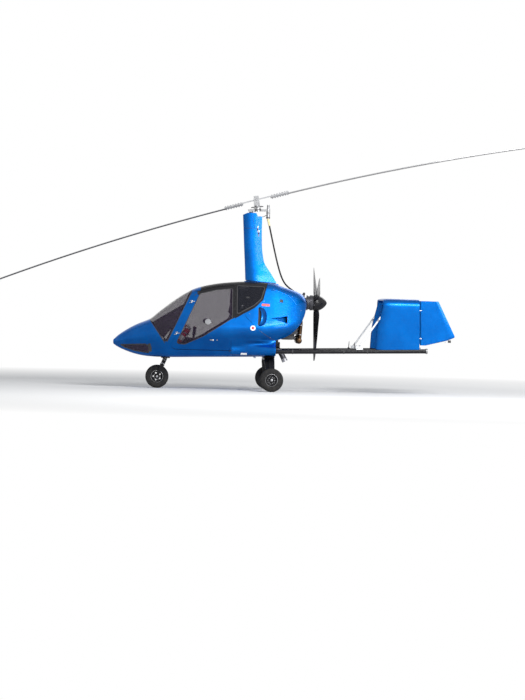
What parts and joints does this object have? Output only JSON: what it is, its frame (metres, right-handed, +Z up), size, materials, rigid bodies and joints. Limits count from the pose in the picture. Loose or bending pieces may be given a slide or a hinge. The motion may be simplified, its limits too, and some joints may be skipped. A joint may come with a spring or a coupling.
{
  "type": "gyrocopter",
  "caption": "Two-seat side-by-side enclosed gyrocopter with a pusher propeller, twin tail booms, a teetering rotor on a faired mast and a fixed tricycle gear.",
  "frame": {"origin": "centre of the bounding box's bottom face, on the ground under the aircraft", "axes": "+X aft towards the tail, +Y to starboard, +Z up"},
  "size_m": [8.1817, 1.868, 3.7262],
  "materials": {
    "blue_shell": "gloss",
    "black_shell": "gloss",
    "clear_glass": "clear",
    "white_paint": "gloss",
    "dark_plastic": "matte",
    "engine_dark": "matte",
    "exhaust_steel": "brushed",
    "steel": "brushed",
    "head_aluminium": "satin",
    "tyre_rubber": "matte",
    "seat_cloth": "matte",
    "red_paint": "gloss",
    "gear_black": "satin",
    "sheath_black": "satin"
  },
  "bodies": {
    "airframe": {"hull": "blue_shell", "windshield": "clear_glass", "small_windows": "clear_glass", "roof_frame": "black_shell", "engine_cowl": "blue_shell", "mast_fairing": "blue_shell", "mast_cap": "blue_shell", "mast": "steel", "rotor_head": "head_aluminium", "drive_shaft": "sheath_black", "engine": "engine_dark", "exhaust": "exhaust_steel", "rear_bulkhead": "dark_plastic", "tail_booms": "gear_black", "tail_fins": "blue_shell", "tail_struts": "white_paint", "main_gear": "gear_black", "nose_leg": "gear_black", "seats": "seat_cloth", "cabin_tub": "dark_plastic", "dashboard": "dark_plastic", "console": "dark_plastic", "controls": "gear_black", "fire_bottle": "red_paint", "skin_fittings": "white_paint"},
    "door_left": {"door_left": "blue_shell", "door_window_left": "clear_glass"},
    "door_right": {"door_right": "blue_shell", "door_window_right": "clear_glass"},
    "rudder_left": {"rudder_left": "blue_shell"},
    "rudder_right": {"rudder_right": "blue_shell"},
    "steering": {"nose_fork": "gear_black"},
    "wheel_nose": {"tyre_nose": "tyre_rubber", "rim_nose": "head_aluminium"},
    "wheel_left": {"tyre_left": "tyre_rubber", "rim_left": "head_aluminium"},
    "wheel_right": {"tyre_right": "tyre_rubber", "rim_right": "head_aluminium"},
    "rotor_tower": {"rotor_tower": "head_aluminium"},
    "rotor": {"hub_bar": "head_aluminium", "rotor_blade_front": "white_paint", "rotor_blade_rear": "white_paint"},
    "propeller": {"prop_hub": "dark_plastic", "spinner": "black_shell", "prop_blades": "dark_plastic"}
  },
  "joints": [
    {"name": "wheel_left_spin", "type": "hinge", "parent": "airframe", "child": "wheel_left", "pos_m": [0.19036, -0.875, 0.172], "axis": [0, 1, 0], "continuous": true},
    {"name": "wheel_right_spin", "type": "hinge", "parent": "airframe", "child": "wheel_right", "pos_m": [0.19036, 0.875, 0.172], "axis": [0, 1, 0], "continuous": true},
    {"name": "nose_steer", "type": "hinge", "parent": "airframe", "child": "steering", "pos_m": [-1.37271, 0, 0.39243], "axis": [0.3955, 0, 0.9184], "range_deg": [-20, 20]},
    {"name": "wheel_nose_spin", "type": "hinge", "parent": "steering", "child": "wheel_nose", "pos_m": [-1.46764, 0, 0.172], "axis": [0, 1, 0], "continuous": true},
    {"name": "door_right_hinge", "type": "hinge", "parent": "airframe", "child": "door_right", "pos_m": [-1.20324, 0.591, 0.82], "axis": [0.4029, -0.2276, 0.8865], "range_deg": [0, 55]},
    {"name": "door_left_hinge", "type": "hinge", "parent": "airframe", "child": "door_left", "pos_m": [-1.20324, -0.591, 0.82], "axis": [-0.4029, -0.2276, -0.8865], "range_deg": [0, 55]},
    {"name": "rudder_left_turn", "type": "hinge", "parent": "airframe", "child": "rudder_left", "pos_m": [2.37968, -0.63, 0.81001], "axis": [-0.0243, 0, 0.9997], "range_deg": [-25, 25]},
    {"name": "rudder_right_turn", "type": "hinge", "parent": "airframe", "child": "rudder_right", "pos_m": [2.37968, 0.63, 0.81001], "axis": [-0.0243, 0, 0.9997], "range_deg": [-25, 25]},
    {"name": "rotor_spin", "type": "hinge", "parent": "airframe", "child": "rotor_tower", "pos_m": [-0.04197, 0, 2.67308], "axis": [-0.1219, 0, 0.9925], "continuous": true},
    {"name": "rotor_teeter", "type": "hinge", "parent": "rotor_tower", "child": "rotor", "pos_m": [-0.05964, 0, 2.817], "axis": [0, 1, 0], "range_deg": [0, 17]},
    {"name": "propeller_spin", "type": "hinge", "parent": "airframe", "child": "propeller", "pos_m": [0.67036, 0, 1.313], "axis": [1, 0, 0], "continuous": true}
  ],
  "couplings": [
    {"joint": "rudder_right_turn", "follows": "rudder_left_turn", "ratio": 1}
  ]
}
